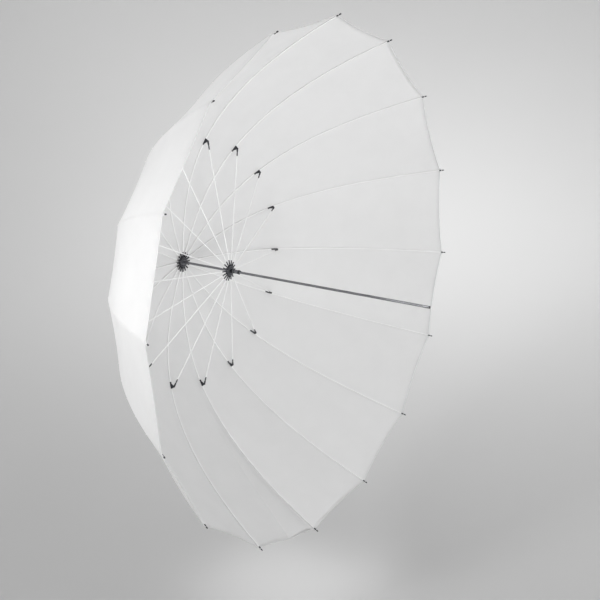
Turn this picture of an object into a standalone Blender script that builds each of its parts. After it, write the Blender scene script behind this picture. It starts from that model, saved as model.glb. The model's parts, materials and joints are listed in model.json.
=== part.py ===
"""Deep sixteen-rib studio umbrella reflector, open, on its shaft.

The shaft lies along Y with the free end towards -Y and the crown towards +Y, so the
mouth of the canopy faces -Y. The origin is on the shaft axis, where a stand bracket
grips it. In the sections below, r is the distance from the shaft axis and s is the
distance from the plane of the crown pivots towards the free end of the shaft.
"""

from math import atan2, cos, degrees, hypot, pi, radians, sin

import bmesh
import bpy
from mathutils import Matrix, Vector

MM = 0.001

# Overall sizes
RIB_COUNT = 16
RIM_RADIUS = 825 * MM            # shaft axis to the end of a rib tip
CANOPY_DEPTH = 593 * MM          # crown pivots to the plane of the rib tips
CURVE_POWER = 2.79               # the ribs follow s = depth * (r / rim radius) ** power
FIRST_RIB_ANGLE = radians(3.75)  # turn of the first rib from straight up, towards +X
SHAFT_REACH = 941 * MM           # crown pivots to the end of the shaft tube
GRIP_FROM_CROWN = 676 * MM       # crown pivots to the place where the bracket grips

# Running gaps
GAP = 0.3 * MM
SLOT_GAP = 0.4 * MM

# Shaft and its ends
SHAFT_RADIUS = 4.0 * MM
SHAFT_WALL = 0.8 * MM
SHAFT_BEHIND_CROWN = 18 * MM
END_CAP_FLANGE = 2.0 * MM
END_CAP_PLUG = 9.0 * MM
FINIAL_RADIUS = 9.0 * MM
FINIAL_LENGTH = 16 * MM
FINIAL_FLAT = 3.0 * MM
ROSETTE_RADIUS = 24 * MM
ROSETTE_THICKNESS = 1.2 * MM

# Notched hubs, one on the crown and one on the runner, with their ring wires
PIVOT_RADIUS = 14 * MM
HUB_RIM = 3.5 * MM               # hub beyond the ring wire
HUB_HALF_HEIGHT = 6.0 * MM
EYE_CLEARANCE = 1.0 * MM         # rib eye to the core of the hub
WIRE_RADIUS = 0.7 * MM

# Ribs
ROD_RADIUS = 1.8 * MM
TONGUE_HALF_WIDTH = 1.0 * MM
TONGUE_HALF_HEIGHT = 3.2 * MM
FERRULE_WALL = 0.2 * MM          # beside the rod
FERRULE_FLANGE = 0.7 * MM        # above and below the rod
FERRULE_LENGTH = 20 * MM
JOINT_RADIUS = 427 * MM          # shaft axis to the outer end of the rib bracket
BRACKET_LENGTH = 24 * MM
BRACKET_WALL = 0.6 * MM          # beside the rod
BRACKET_SADDLE = 0.8 * MM        # above and below the rod
PIN_DROP = 10.5 * MM             # rib centre line to the stretcher pin
PIN_SETBACK = 3.0 * MM           # bracket end back to the stretcher pin
PIN_RADIUS = 1.0 * MM
BLADE_HALF_WIDTH = 0.8 * MM
BLADE_EDGE = 1.3 * MM            # material round the stretcher pin
FLEX_GAP = 1.6 * MM              # bracket end to the flex point of the outer rod
TIP_LENGTH = 17 * MM
TIP_WALL = 0.3 * MM

# Stretchers
STRETCHER_RADIUS = 1.5 * MM
FORK_CHEEK = 1.2 * MM            # beside the blade and round the pin
FORK_LENGTH = 9 * MM
STRETCHER_FERRULE = 32 * MM
HUB_FERRULE = 21 * MM

# Canopy
FABRIC_THICKNESS = 0.5 * MM
FABRIC_GAP = 0.8 * MM            # rib bracket to the inside of the fabric
HEM_SETBACK = 14 * MM            # end of a rib tip back to the hem, along the rib

# Runner sleeve and catch
SLEEVE_WALL = 2.4 * MM
SLEEVE_LENGTH = 34 * MM
CATCH_HALF_WIDTH = 0.6 * MM
CATCH_HEIGHT = 2.6 * MM          # catch nose above the shaft
CATCH_ARM = 26 * MM
CATCH_NOSE = 8 * MM
CATCH_THICKNESS = 1.7 * MM
CATCH_SPRING_RADIUS = 1.2 * MM
CATCH_SPRING_WIRE = 0.4 * MM

ROUND_STEPS = 16
WIRE_STEPS = 24
INNER_STATIONS = 4
OUTER_STATIONS = 7

# Derived places
CROWN_Y = GRIP_FROM_CROWN
HUB_RADIUS = PIVOT_RADIUS + HUB_RIM
HUB_CORE = PIVOT_RADIUS - TONGUE_HALF_HEIGHT - EYE_CLEARANCE
FERRULE_HALF_WIDTH = ROD_RADIUS + FERRULE_WALL
FERRULE_HALF_HEIGHT = ROD_RADIUS + FERRULE_FLANGE
BRACKET_HALF_WIDTH = ROD_RADIUS + BRACKET_WALL
BRACKET_HALF_HEIGHT = ROD_RADIUS + BRACKET_SADDLE
BLADE_END_RADIUS = PIN_RADIUS + BLADE_EDGE
TIP_RADIUS = ROD_RADIUS + TIP_WALL
FORK_HALF_WIDTH = BLADE_HALF_WIDTH + SLOT_GAP + FORK_CHEEK
FORK_HALF_HEIGHT = PIN_RADIUS + FORK_CHEEK
HUB_SWING = hypot(HUB_RIM, HUB_HALF_HEIGHT) + GAP    # pivot to what clears the hub's corners
SHAFT_BORE = SHAFT_RADIUS - SHAFT_WALL
STEP_ANGLE = 2 * pi / RIB_COUNT


def curve_s(r):
    """Axial place of the rib centre line at distance r from the shaft axis."""
    return CANOPY_DEPTH * (r / RIM_RADIUS) ** CURVE_POWER


def curve_angle(r):
    """Angle of the rib centre line from the plane of the crown pivots."""
    slope = CURVE_POWER * CANOPY_DEPTH / RIM_RADIUS * (r / RIM_RADIUS) ** (CURVE_POWER - 1)
    return atan2(slope, 1)


def along(point, angle, distance):
    return (point[0] + distance * cos(angle), point[1] + distance * sin(angle))


JOINT = (JOINT_RADIUS, curve_s(JOINT_RADIUS))
JOINT_ANGLE = curve_angle(JOINT_RADIUS)
FLEX_POINT = along(JOINT, JOINT_ANGLE, FLEX_GAP)
PIN = along(along(JOINT, JOINT_ANGLE, -PIN_SETBACK), JOINT_ANGLE + pi / 2, PIN_DROP)
LINK_LENGTH = hypot(PIN[0] - PIVOT_RADIUS, PIN[1])
LINK_ANGLE = atan2(PIN[1], PIN[0] - PIVOT_RADIUS)
RUNNER_S = 2 * PIN[1]
TIP_ANGLE = curve_angle(RIM_RADIUS)
HEM_RADIUS = RIM_RADIUS - HEM_SETBACK * cos(TIP_ANGLE)


def make_material(name, colour, roughness, metallic=0.0):
    material = bpy.data.materials.new(name)
    material.use_nodes = True
    shader = material.node_tree.nodes["Principled BSDF"]
    shader.inputs["Base Color"].default_value = (*colour, 1)
    shader.inputs["Roughness"].default_value = roughness
    shader.inputs["Metallic"].default_value = metallic
    return material


def new_object(name, mesh, material=None):
    obj = bpy.data.objects.new(name, mesh)
    bpy.context.scene.collection.objects.link(obj)
    if material:
        mesh.materials.clear()
        mesh.materials.append(material)
    return obj


def finish_mesh(name, bm):
    bmesh.ops.remove_doubles(bm, verts=bm.verts, dist=0.00001)
    bmesh.ops.recalc_face_normals(bm, faces=bm.faces)
    mesh = bpy.data.meshes.new(name)
    bm.to_mesh(mesh)
    bm.free()
    mesh.shade_smooth()
    mesh.set_sharp_from_angle(angle=radians(30))
    return mesh


def turned_mesh(name, profile, steps=ROUND_STEPS, phase=0.0):
    """A closed profile of (r, s) points turned about the shaft axis. Points with r = 0
    close the shape on the axis."""
    bm = bmesh.new()
    rings = []
    for r, s in profile:
        if r == 0:
            rings.append([bm.verts.new((0, -s, 0))] * steps)
            continue
        angles = [phase + 2 * pi * k / steps for k in range(steps)]
        rings.append([bm.verts.new((r * sin(a), -s, r * cos(a))) for a in angles])
    for near, far in zip(rings, rings[1:] + rings[:1]):
        for k in range(steps):
            corners = [near[k], near[(k + 1) % steps], far[(k + 1) % steps], far[k]]
            face = list(dict.fromkeys(corners))
            if len(face) > 2:
                bm.faces.new(face)
    return finish_mesh(name, bm)


def swept_mesh(name, sections):
    """Six-sided rings along a path in the XZ plane, skinned and capped. A section is
    (point, angle of the path, half width along Y, half height across the path)."""
    bm = bmesh.new()
    rings = []
    for (x, z), angle, width, height in sections:
        ring = []
        for y, up in ((1, 0.5), (0, 1), (-1, 0.5), (-1, -0.5), (0, -1), (1, -0.5)):
            ring.append(bm.verts.new((
                x - sin(angle) * up * height, y * width, z + cos(angle) * up * height)))
        rings.append(ring)
    for near, far in zip(rings, rings[1:]):
        for k in range(6):
            bm.faces.new((near[k], near[(k + 1) % 6], far[(k + 1) % 6], far[k]))
    bm.faces.new(rings[0])
    bm.faces.new(rings[-1])
    return finish_mesh(name, bm)


def plate_mesh(name, outline, half_width):
    """A flat plate: an outline in the XZ plane, half_width to each side along Y."""
    bm = bmesh.new()
    sides = [[bm.verts.new((x, y, z)) for x, z in outline] for y in (-half_width, half_width)]
    for side in sides:
        bm.faces.new(side)
    count = len(outline)
    for k in range(count):
        bm.faces.new((sides[0][k], sides[0][(k + 1) % count],
                      sides[1][(k + 1) % count], sides[1][k]))
    return finish_mesh(name, bm)


def pin_mesh(name, point, radius, half_length, steps=8):
    """A round pin along Y through a point of the XZ plane."""
    outline = [along(point, 2 * pi * (k + 0.5) / steps, radius) for k in range(steps)]
    return plate_mesh(name, outline, half_length)


def apply_booleans(name, base_mesh, tools):
    """The base mesh with each (operation, mesh) of tools applied in turn."""
    base = new_object(name, base_mesh)
    helpers = []
    for operation, mesh in tools:
        helper = new_object(f"{name}_tool", mesh)
        helpers.append(helper)
        modifier = base.modifiers.new(operation.lower(), "BOOLEAN")
        modifier.operation = operation
        modifier.object = helper
    graph = bpy.context.evaluated_depsgraph_get()
    result = bpy.data.meshes.new_from_object(base.evaluated_get(graph))
    for obj in (base, *helpers):
        bpy.data.objects.remove(obj)
    bm = bmesh.new()
    bm.from_mesh(result)
    return finish_mesh(name, bm)


def rib_plane(index):
    """Turns rib coordinates (x outward, z towards the mouth) to the plane of a rib."""
    angle = FIRST_RIB_ANGLE + index * STEP_ANGLE
    outward = Vector((sin(angle), 0, cos(angle)))
    mouthward = Vector((0, -1, 0))
    sideways = mouthward.cross(outward)
    turn = Matrix((outward, sideways, mouthward)).transposed().to_4x4()
    return Matrix.Translation((0, CROWN_Y, 0)) @ turn


def place(obj, index, point, turn=0.0):
    """Puts an object's origin at an (r, s) point of a rib's plane, turned in it."""
    plane = rib_plane(index)
    spot = Matrix.Translation((point[0], 0, point[1]))
    obj.matrix_world = plane @ spot @ Matrix.Rotation(-turn, 4, "Y")


# Shaft, its end cap and the parts behind the crown

def build_shaft(steel, plastic, fabric):
    slot_start = RUNNER_S + HUB_HALF_HEIGHT + SLEEVE_LENGTH
    tube = turned_mesh("shaft_tube", (
        (SHAFT_BORE, -SHAFT_BEHIND_CROWN),
        (SHAFT_BORE, SHAFT_REACH),
        (SHAFT_RADIUS, SHAFT_REACH),
        (SHAFT_RADIUS, -SHAFT_BEHIND_CROWN)))
    slot_half = CATCH_HALF_WIDTH + GAP
    slot = plate_mesh("slot", (
        (0, slot_start), (0, slot_start + CATCH_NOSE + 4 * SLOT_GAP),
        (2 * SHAFT_RADIUS, slot_start + CATCH_NOSE + 4 * SLOT_GAP),
        (2 * SHAFT_RADIUS, slot_start)), slot_half)
    slot.transform(rib_plane_upright())
    tube = apply_booleans("shaft_tube", tube, [("DIFFERENCE", slot)])
    shaft = new_object("shaft_tube", tube, steel)
    shaft.location = (0, CROWN_Y, 0)

    plug_radius = SHAFT_BORE - GAP
    cap_start = SHAFT_REACH + GAP
    cap_end = cap_start + END_CAP_FLANGE
    cap = new_object("shaft_end_cap", turned_mesh("shaft_end_cap", (
        (0, cap_start - END_CAP_PLUG), (plug_radius - GAP, cap_start - END_CAP_PLUG),
        (plug_radius, cap_start - END_CAP_PLUG + 2 * GAP), (plug_radius, cap_start),
        (SHAFT_RADIUS, cap_start), (SHAFT_RADIUS, cap_end - GAP),
        (SHAFT_RADIUS - GAP, cap_end), (0, cap_end))), plastic)
    cap.location = (0, CROWN_Y, 0)

    fabric_outside = HUB_HALF_HEIGHT + 2 * GAP + SLOT_GAP + FABRIC_THICKNESS
    rosette_start = fabric_outside + GAP
    rosette_end = rosette_start + ROSETTE_THICKNESS
    bore = SHAFT_RADIUS + GAP
    rosette = new_object("canopy_rosette", turned_mesh("canopy_rosette", (
        (bore, -rosette_start), (ROSETTE_RADIUS, -rosette_start),
        (ROSETTE_RADIUS, -rosette_end + ROSETTE_THICKNESS / 2),
        (ROSETTE_RADIUS - ROSETTE_THICKNESS, -rosette_end), (bore, -rosette_end))), fabric)
    rosette.location = (0, CROWN_Y, 0)

    finial_start = rosette_end + GAP
    finial_end = finial_start + FINIAL_LENGTH
    pocket = max(SHAFT_BEHIND_CROWN, finial_start) + GAP
    finial = new_object("finial_cap", turned_mesh("finial_cap", (
        (bore, -finial_start), (FINIAL_RADIUS, -finial_start),
        (FINIAL_RADIUS, -finial_start - FINIAL_LENGTH * 0.35),
        (FINIAL_RADIUS * 0.8, -finial_start - FINIAL_LENGTH * 0.75),
        (FINIAL_FLAT, -finial_end), (0, -finial_end), (0, -pocket), (bore, -pocket))),
        plastic)
    finial.location = (0, CROWN_Y, 0)


def rib_plane_upright():
    """Turns a mesh drawn in rib coordinates to the upright plane above the shaft axis,
    in the coordinates of an object that sits at the crown."""
    turn = Matrix((Vector((0, 0, 1)), Vector((-1, 0, 0)), Vector((0, -1, 0)))).transposed()
    return turn.to_4x4()


# Notched hubs and ring wires

def hub_mesh(name):
    """A turned ring with a groove for the wire, then one slot for each rib."""
    groove = WIRE_RADIUS + SLOT_GAP
    floor = PIVOT_RADIUS - groove
    high = HUB_HALF_HEIGHT
    bore = SHAFT_RADIUS + GAP
    ring = turned_mesh(name, (
        (bore, -high), (HUB_RADIUS, -high), (HUB_RADIUS, -groove), (floor, -groove),
        (floor, groove), (HUB_RADIUS, groove), (HUB_RADIUS, high), (bore, high)),
        RIB_COUNT * 2, FIRST_RIB_ANGLE + STEP_ANGLE / 4)
    slot_half = TONGUE_HALF_WIDTH + SLOT_GAP
    slots = bmesh.new()
    for index in range(RIB_COUNT):
        slot = plate_mesh("slot", (
            (HUB_CORE, -2 * high), (2 * HUB_RADIUS, -2 * high),
            (2 * HUB_RADIUS, 2 * high), (HUB_CORE, 2 * high)), slot_half)
        slot.transform(Matrix.Translation((0, -CROWN_Y, 0)) @ rib_plane(index))
        slots.from_mesh(slot)
    return apply_booleans(name, ring, [("DIFFERENCE", finish_mesh("slots", slots))])


def wire_mesh(name):
    ring = [(PIVOT_RADIUS + WIRE_RADIUS * cos(k * pi / 3), WIRE_RADIUS * sin(k * pi / 3))
            for k in range(6)]
    return turned_mesh(name, ring, WIRE_STEPS)


def build_hubs(dark, steel):
    crown = new_object("crown_hub", hub_mesh("crown_hub"), dark)
    crown.location = (0, CROWN_Y, 0)
    wire = new_object("crown_wire", wire_mesh("crown_wire"), steel)
    wire.location = (0, CROWN_Y, 0)

    pivot = bpy.data.objects.new("runner_pivot", None)
    bpy.context.scene.collection.objects.link(pivot)
    place(pivot, 0, (PIVOT_RADIUS, RUNNER_S))
    sleeve_radius = SHAFT_RADIUS + GAP + SLEEVE_WALL
    sleeve_start = HUB_HALF_HEIGHT + GAP
    sleeve_end = HUB_HALF_HEIGHT + SLEEVE_LENGTH - GAP
    bore = SHAFT_RADIUS + GAP
    sleeve = turned_mesh("runner_sleeve", (
        (bore, sleeve_start), (sleeve_radius + 2 * GAP, sleeve_start),
        (sleeve_radius + 2 * GAP, sleeve_start + 3 * SLEEVE_WALL),
        (sleeve_radius, sleeve_start + 4 * SLEEVE_WALL), (sleeve_radius, sleeve_end - GAP),
        (sleeve_radius - GAP, sleeve_end), (bore, sleeve_end)))
    pieces = (("runner_hub", hub_mesh("runner_hub"), dark),
              ("runner_wire", wire_mesh("runner_wire"), steel),
              ("runner_sleeve", sleeve, dark))
    for name, mesh, material in pieces:
        piece = new_object(name, mesh, material)
        piece.parent = pivot
        home = Matrix.Translation((0, CROWN_Y - RUNNER_S, 0))
        bpy.context.view_layer.update()
        piece.matrix_world = home


# Catch lever in the shaft, with its spring

def build_catch(dark, steel):
    """A lever on a cross axis inside the tube. Its nose stands up through a slot just
    behind the runner sleeve and stops the runner until it is pressed in."""
    nose = RUNNER_S + HUB_HALF_HEIGHT + SLEEVE_LENGTH + 2 * GAP
    hinge = (CATCH_THICKNESS / 2 + GAP, nose + CATCH_ARM)
    top = SHAFT_RADIUS + CATCH_HEIGHT
    low = GAP
    high = low + CATCH_THICKNESS
    outline = [
        (low - hinge[0], nose - hinge[1]), (top - hinge[0], nose - hinge[1]),
        (top - hinge[0], nose + 0.25 * CATCH_NOSE - hinge[1]),
        (SHAFT_RADIUS - hinge[0], nose + CATCH_NOSE - hinge[1]),
        (high - hinge[0], nose + CATCH_NOSE - hinge[1]),
        (high - hinge[0], CATCH_THICKNESS), (low - hinge[0], CATCH_THICKNESS)]
    lever = new_object("catch_lever", plate_mesh("catch_lever", outline, CATCH_HALF_WIDTH),
                       dark)
    lever.matrix_world = (Matrix.Translation((0, CROWN_Y, 0)) @ rib_plane_upright()
                          @ Matrix.Translation((hinge[0], 0, hinge[1])))

    outer = CATCH_SPRING_RADIUS
    inner = outer - CATCH_SPRING_WIRE
    floor = -((SHAFT_BORE - GAP) ** 2 - outer ** 2) ** 0.5 + GAP
    profile = ((inner, floor), (inner, 0), (outer, 0), (outer, floor))
    coil = turned_mesh("catch_spring", profile, 12)
    coil.transform(Matrix.Rotation(-pi / 2, 4, "X"))
    spring = new_object("catch_spring", coil, steel)
    spring.location = (0, CROWN_Y - nose - CATCH_NOSE / 2, 0)


# Ribs: inner rod with its bracket, outer rod with its tip, and stretchers

def rib_section(r, width, height):
    return ((r - PIVOT_RADIUS, curve_s(r)), curve_angle(r), width, height)


def inner_rib_mesh():
    eye = TONGUE_HALF_HEIGHT
    ferrule_start = PIVOT_RADIUS + HUB_SWING
    ferrule_end = PIVOT_RADIUS + FERRULE_LENGTH
    flat = TONGUE_HALF_WIDTH
    bracket = (BRACKET_HALF_WIDTH, BRACKET_HALF_HEIGHT)
    ferrule = (FERRULE_HALF_WIDTH, FERRULE_HALF_HEIGHT)
    rod = (ROD_RADIUS, ROD_RADIUS)
    bracket_start = JOINT_RADIUS - BRACKET_LENGTH * cos(JOINT_ANGLE)
    sections = [
        ((-eye, 0), 0, flat, eye / 2), ((-0.6 * eye, 0), 0, flat, 0.88 * eye),
        ((0, 0), 0, flat, eye), rib_section(ferrule_start, flat, ferrule[1]),
        rib_section(ferrule_start + eye, *ferrule), rib_section(ferrule_end, *ferrule),
        rib_section(ferrule_end + GAP, *rod)]
    for k in range(1, INNER_STATIONS):
        r = ferrule_end + (bracket_start - ferrule_end) * k / INNER_STATIONS
        sections.append(rib_section(r, *rod))
    sections += [
        rib_section(bracket_start, *rod), rib_section(bracket_start + GAP, *bracket),
        rib_section(JOINT_RADIUS, *bracket)]
    body = swept_mesh("rib_inner", sections)

    pin = (PIN[0] - PIVOT_RADIUS, PIN[1])
    joint = (JOINT[0] - PIVOT_RADIUS, JOINT[1])
    corner = along(joint, JOINT_ANGLE, -BRACKET_LENGTH + 2 * PIN_RADIUS)
    near = along(joint, JOINT_ANGLE, -PIN_RADIUS)
    start = JOINT_ANGLE
    turns = (0, 0.25, 0.5, 0.75)
    arc = [along(pin, start + pi * turn, BLADE_END_RADIUS) for turn in turns]
    blade = plate_mesh("blade", [corner, near, *arc], BLADE_HALF_WIDTH)
    rivet = pin_mesh("rivet", pin, PIN_RADIUS, FORK_HALF_WIDTH + GAP)
    hole = pin_mesh("hole", (0, 0), WIRE_RADIUS + 1.3 * SLOT_GAP, 2 * flat, 6)
    return apply_booleans("rib_inner", body, [
        ("UNION", blade), ("UNION", rivet), ("DIFFERENCE", hole)])


def outer_rib_mesh():
    rod = (ROD_RADIUS, ROD_RADIUS)
    tip_start = RIM_RADIUS - TIP_LENGTH * cos(TIP_ANGLE)
    nose = ROD_RADIUS * 0.5

    def section(point, angle, width, height):
        return ((point[0] - FLEX_POINT[0], point[1] - FLEX_POINT[1]), angle, width, height)

    sections = [
        section(along(FLEX_POINT, JOINT_ANGLE, -0.7 * nose), JOINT_ANGLE, 0.7 * nose, 0.7 * nose),
        section(along(FLEX_POINT, JOINT_ANGLE, 2 * nose), JOINT_ANGLE, *rod)]
    for k in range(1, OUTER_STATIONS):
        r = JOINT_RADIUS + (tip_start - JOINT_RADIUS) * k / OUTER_STATIONS
        sections.append(section((r, curve_s(r)), curve_angle(r), *rod))
    start = (tip_start, curve_s(tip_start))
    end = (RIM_RADIUS, curve_s(RIM_RADIUS))
    sections += [
        section(start, TIP_ANGLE, *rod),
        section(along(start, TIP_ANGLE, GAP), TIP_ANGLE, TIP_RADIUS, TIP_RADIUS),
        section(along(end, TIP_ANGLE, -TIP_RADIUS), TIP_ANGLE, TIP_RADIUS, TIP_RADIUS),
        section(end, TIP_ANGLE, TIP_RADIUS / 2, TIP_RADIUS / 2)]
    return swept_mesh("rib_outer", sections)


def stretcher_mesh():
    """Drawn along X from the fork at the rib pin to the eye on the runner wire."""
    flat = TONGUE_HALF_WIDTH
    eye = TONGUE_HALF_HEIGHT
    fork = (FORK_HALF_WIDTH, FORK_HALF_HEIGHT)
    rod = (STRETCHER_RADIUS, STRETCHER_RADIUS)
    ferrule = (FERRULE_HALF_WIDTH, FERRULE_HALF_HEIGHT * 0.9)
    hub_side = LINK_LENGTH - HUB_SWING
    stations = (
        (-0.9 * FORK_HALF_HEIGHT, FORK_HALF_WIDTH, 0.6 * FORK_HALF_HEIGHT), (0, *fork),
        (FORK_LENGTH, *fork), (STRETCHER_FERRULE, *ferrule), (STRETCHER_FERRULE + GAP, *rod),
        (LINK_LENGTH - HUB_FERRULE, *rod), (LINK_LENGTH - HUB_FERRULE + GAP, *ferrule),
        (hub_side - eye, *ferrule), (hub_side, flat, ferrule[1]),
        (LINK_LENGTH + 0.5 * eye, flat, 0.9 * eye), (LINK_LENGTH + eye, flat, eye / 2))
    body = swept_mesh("stretcher", [((x, 0), 0, w, h) for x, w, h in stations])
    reach = 3 * FORK_HALF_HEIGHT
    slot = plate_mesh("slot", (
        (-reach, -reach), (FORK_LENGTH - GAP, -reach), (FORK_LENGTH - GAP, reach),
        (-reach, reach)), BLADE_HALF_WIDTH + SLOT_GAP)
    bearing = pin_mesh("bearing", (0, 0), PIN_RADIUS + SLOT_GAP, 2 * FORK_HALF_WIDTH)
    hole = pin_mesh("hole", (LINK_LENGTH, 0), WIRE_RADIUS + 1.3 * SLOT_GAP, 2 * flat, 6)
    return apply_booleans("stretcher", body, [
        ("DIFFERENCE", slot), ("DIFFERENCE", bearing), ("DIFFERENCE", hole)])


def build_ribs(glass_fibre):
    kinds = (("rib_inner", inner_rib_mesh(), (PIVOT_RADIUS, 0), 0),
             ("rib_outer", outer_rib_mesh(), FLEX_POINT, 0),
             ("stretcher", stretcher_mesh(), PIN, pi - LINK_ANGLE))
    for kind, mesh, point, turn in kinds:
        for index in range(RIB_COUNT):
            rod = new_object(f"{kind}_{index + 1:02d}", mesh, glass_fibre)
            place(rod, index, point, turn)


# Canopy: sixteen straight-chorded gores as one thin wall with an open mouth

def build_canopy(fabric):
    inside = BRACKET_HALF_HEIGHT + FABRIC_GAP
    top = HUB_HALF_HEIGHT + GAP + SLOT_GAP
    crown_hole = SHAFT_RADIUS + 3 * GAP
    shoulder = HUB_RADIUS + 4 * SLOT_GAP
    ferrule_end = PIVOT_RADIUS + FERRULE_LENGTH
    bracket_start = JOINT_RADIUS - BRACKET_LENGTH * cos(JOINT_ANGLE)
    radii = [ferrule_end + (bracket_start - ferrule_end) * k / INNER_STATIONS
             for k in range(INNER_STATIONS + 1)]
    tip_start = RIM_RADIUS - TIP_LENGTH * cos(TIP_ANGLE)
    radii += [JOINT_RADIUS + (tip_start - JOINT_RADIUS) * k / OUTER_STATIONS
              for k in range(OUTER_STATIONS)]
    radii.append(HEM_RADIUS)

    def shell(offset):
        crown = [(crown_hole, -top - offset), (shoulder, -top - offset)]
        skin = []
        for r in radii:
            point = (r, curve_s(r))
            skin.append(along(point, curve_angle(r) - pi / 2, inside + offset))
        return crown + skin

    profile = shell(0) + shell(FABRIC_THICKNESS)[::-1]
    canopy = new_object("canopy", turned_mesh("canopy", profile, RIB_COUNT, FIRST_RIB_ANGLE),
                        fabric)
    canopy.location = (0, CROWN_Y, 0)


for old in list(bpy.data.objects):
    bpy.data.objects.remove(old)

white_fabric = make_material("white_fabric", (0.86, 0.86, 0.86), 0.75)
white_rod = make_material("white_glass_fibre", (0.78, 0.78, 0.77), 0.4)
dark_metal = make_material("dark_metal", (0.06, 0.06, 0.065), 0.45, 0.8)
shaft_steel = make_material("shaft_steel", (0.42, 0.42, 0.43), 0.35, 1.0)
black_plastic = make_material("black_plastic", (0.03, 0.03, 0.03), 0.5)

build_shaft(shaft_steel, black_plastic, white_fabric)
build_hubs(dark_metal, shaft_steel)
build_catch(dark_metal, shaft_steel)
build_ribs(white_rod)
build_canopy(white_fabric)

print("link length mm", round(LINK_LENGTH / MM, 2), "link angle", round(degrees(LINK_ANGLE), 3))
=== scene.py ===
"""A deep sixteen-rib studio umbrella reflector of white translucent nylon, open on its shaft.

The shaft lies along Y with its free end towards -Y, so the mouth faces -Y. Shapes are drawn
in shaft coordinates: r outward from the shaft, t sideways and s from the plane of the crown
pivots towards the mouth. Each rib turns the same drawing to its own plane.
"""
import json
from math import atan2, cos, hypot, log, pi, radians, sin

import bmesh
import bpy
import numpy as np
from mathutils import Matrix, Vector


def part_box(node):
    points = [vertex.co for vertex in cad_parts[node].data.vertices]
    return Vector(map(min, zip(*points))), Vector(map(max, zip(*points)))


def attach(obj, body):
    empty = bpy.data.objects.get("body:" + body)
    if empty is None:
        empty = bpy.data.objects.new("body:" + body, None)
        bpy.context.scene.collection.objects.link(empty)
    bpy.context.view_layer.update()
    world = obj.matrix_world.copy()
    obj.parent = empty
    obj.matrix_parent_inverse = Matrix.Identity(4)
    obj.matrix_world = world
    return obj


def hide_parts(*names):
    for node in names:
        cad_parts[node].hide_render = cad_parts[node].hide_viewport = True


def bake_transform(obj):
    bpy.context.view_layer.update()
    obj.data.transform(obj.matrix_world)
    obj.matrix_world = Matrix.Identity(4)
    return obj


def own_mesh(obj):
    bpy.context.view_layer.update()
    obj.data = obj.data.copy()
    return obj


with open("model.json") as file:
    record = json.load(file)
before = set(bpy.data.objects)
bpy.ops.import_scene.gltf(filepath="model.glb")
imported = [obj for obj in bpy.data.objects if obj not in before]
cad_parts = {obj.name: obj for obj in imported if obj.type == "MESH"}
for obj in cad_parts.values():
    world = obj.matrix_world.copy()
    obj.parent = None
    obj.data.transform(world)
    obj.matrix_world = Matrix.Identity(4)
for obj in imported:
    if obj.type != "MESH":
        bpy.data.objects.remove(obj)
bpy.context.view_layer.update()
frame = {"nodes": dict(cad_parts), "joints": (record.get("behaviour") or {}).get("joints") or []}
MM = 0.001


# Shaft: a drawn steel tube of 8 mm, nickel plated and polished, with a slot for the catch
# and a moulded cap in its free end. The plating shows fine lines along the tube.

joints = {joint["name"]: joint for joint in frame["joints"]}
crown_y = joints["rib_01_fold"]["pos_m"][1]
rib_numbers = sorted(name[4:6] for name in joints if name.endswith("_fold"))
half_gore = pi / len(rib_numbers)


def in_plane(point):
    """A point of the frame as (r, s) in shaft coordinates."""
    return hypot(point[0], point[2]), crown_y - point[1]


def span(node):
    """Where a CAD node starts and ends along the shaft, and its half width."""
    low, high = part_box(node)
    return crown_y - high.y, crown_y - low.y, (high.x - low.x) / 2


def direction(angle):
    """The outward direction of a plane through the shaft, at an angle from straight up."""
    return Vector((sin(angle), 0, cos(angle)))


def axes(origin, x, y, z):
    """The transform with the given axes and origin."""
    return Matrix.Translation(origin) @ Matrix((x, y, z)).transposed().to_4x4()


def plane(angle):
    """Shaft coordinates turned to a plane through the shaft, at an angle from straight up."""
    mouthward = Vector((0, -1, 0))
    outward = direction(angle)
    return axes((0, crown_y, 0), outward, mouthward.cross(outward), mouthward)


def colour(hex_value):
    """An sRGB hex colour as linear red, green, blue and alpha."""
    parts = [int(hex_value[i:i + 2], 16) / 255 for i in (1, 3, 5)]
    linear = [c / 12.92 if c <= 0.04045 else ((c + 0.055) / 1.055) ** 2.4 for c in parts]
    return (*linear, 1.0)


def add(tree, kind, inputs=(), **settings):
    """A node of a shader or geometry tree, with its settings, values and links."""
    node = tree.nodes.new(kind)
    for name, value in settings.items():
        setattr(node, name, value)
    for socket, value in dict(inputs).items():
        if isinstance(value, bpy.types.NodeSocket):
            tree.links.new(value, node.inputs[socket])
        else:
            node.inputs[socket].default_value = value
    return node


def new_material(name):
    """An empty material, its tree and the place of a point on the object."""
    material = bpy.data.materials.new(name)
    material.use_nodes = True
    tree = material.node_tree
    tree.nodes.clear()
    return material, tree, add(tree, "ShaderNodeTexCoord").outputs["Object"]


def noise(tree, place, scale, detail):
    return add(tree, "ShaderNodeTexNoise", {
        "Vector": place, "Scale": scale, "Detail": detail}).outputs["Fac"]


def tone(tree, share, dark, light):
    """A colour between two close tones."""
    return add(tree, "ShaderNodeMix", {0: share, 6: colour(dark), 7: colour(light)},
               data_type="RGBA").outputs[2]


def bump(tree, height, strength, distance, **below):
    return add(tree, "ShaderNodeBump", {
        "Height": height, "Strength": strength, "Distance": distance, **below}).outputs[0]


def principled(tree, **inputs):
    """A Principled shader. Its inputs are named with low lines for spaces."""
    return add(tree, "ShaderNodeBsdfPrincipled", {
        name.replace("_", " "): value for name, value in inputs.items()}).outputs[0]


def surface(tree, shader):
    output = add(tree, "ShaderNodeOutputMaterial")
    tree.links.new(shader, output.inputs["Surface"])


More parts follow.
